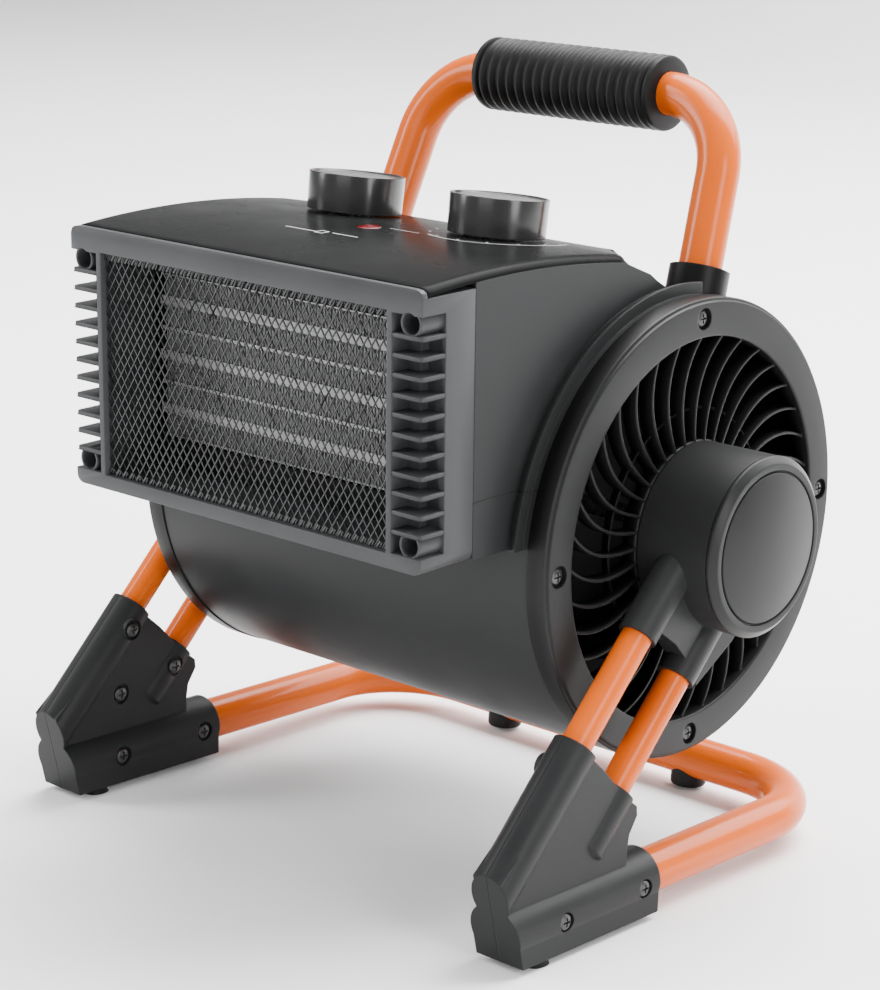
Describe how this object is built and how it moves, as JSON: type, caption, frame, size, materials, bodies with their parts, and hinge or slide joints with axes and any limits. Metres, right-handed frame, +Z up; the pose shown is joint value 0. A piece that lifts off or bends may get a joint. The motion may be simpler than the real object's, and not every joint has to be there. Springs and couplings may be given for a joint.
{
  "type": "ceramic space heater",
  "caption": "Drum-shaped ceramic fan heater with a rectangular hot-air duct, two control knobs, a carrying handle and a tilting tubular stand.",
  "frame": {"origin": "centre of the standing heater's footprint, on the floor", "axes": "+Z up, -Y towards the hot-air outlet, +X towards the thermostat knob's side; the tilt axis runs along X"},
  "size_m": [0.3102, 0.2544, 0.3369],
  "materials": {
    "housing": "fine textured anthracite moulding",
    "panel": "satin black",
    "bezel": "blue-grey textured moulding",
    "grille": "fine textured charcoal moulding",
    "bracket": "textured charcoal moulding",
    "black_plastic": "black moulding",
    "inner_sheet": "black coated sheet",
    "knob": "gloss black",
    "orange_paint": "gloss orange powder coat",
    "rubber": "black ribbed rubber",
    "steel": "bright steel",
    "black_screw": "black oxide",
    "brass": "plain bearing",
    "element": "bright brazed aluminium",
    "ceramic": "pale ceramic",
    "lens": "clear red",
    "switch_plastic": "ivory moulding"
  },
  "bodies": {
    "stand": {"base_tube": "orange_paint", "front_strut_right": "orange_paint", "front_strut_left": "orange_paint", "rear_strut_right": "orange_paint", "rear_strut_left": "orange_paint", "foot_bracket_outer_right": "bracket", "foot_bracket_outer_left": "bracket", "foot_bracket_inner_right": "bracket", "foot_bracket_inner_left": "bracket", "bracket_screws_right": "black_screw", "bracket_screws_left": "black_screw", "front_feet": "rubber", "rear_feet": "rubber", "pivot_arm_right": "grille", "pivot_arm_left": "grille", "pivot_bolt_right": "steel", "pivot_bolt_left": "steel", "pivot_nut_right": "steel", "pivot_nut_left": "steel", "pivot_cap_right": "grille", "pivot_cap_left": "grille"},
    "head": {"lower_housing": "housing", "upper_housing": "housing", "control_panel": "panel", "outlet_bezel": "bezel", "bezel_screws": "black_screw", "guard_mesh": "steel", "heater_frame": "black_plastic", "heating_bars": "element", "heater_fins": "element", "overheat_cutout": "ceramic", "air_guide": "inner_sheet", "indicator_lens": "lens", "thermostat_body": "switch_plastic", "selector_switch": "switch_plastic", "terminal_block": "switch_plastic", "cord_gland": "black_plastic", "intake_grille_right": "grille", "intake_grille_left": "grille", "grille_screws_right": "black_screw", "grille_screws_left": "black_screw", "pivot_bush_right": "brass", "pivot_bush_left": "brass", "handle_tube": "orange_paint", "handle_grip": "rubber", "handle_collar_right": "black_plastic", "handle_collar_left": "black_plastic", "fan_motor": "steel", "motor_bracket": "steel"},
    "thermostat": {"thermostat_knob": "knob"},
    "selector": {"selector_knob": "knob"},
    "fan": {"motor_shaft": "steel", "fan_wheel_right": "black_plastic", "fan_wheel_left": "black_plastic"}
  },
  "joints": [
    {"name": "head_tilt", "type": "hinge", "parent": "stand", "child": "head", "pos_m": [0, 0.02747, 0.15], "axis": [-1, 0, 0], "range_deg": [-15, 70]},
    {"name": "thermostat_turn", "type": "hinge", "parent": "head", "child": "thermostat", "pos_m": [0.04, -0.01925, 0.26674], "axis": [0, -0.0817, -0.9967], "range_deg": [0, 270]},
    {"name": "selector_turn", "type": "hinge", "parent": "head", "child": "selector", "pos_m": [-0.04, -0.01925, 0.26674], "axis": [0, -0.0817, -0.9967], "range_deg": [0, 135]},
    {"name": "fan_spin", "type": "hinge", "parent": "head", "child": "fan", "pos_m": [0, 0.02747, 0.15], "axis": [1, 0, 0], "continuous": true}
  ]
}
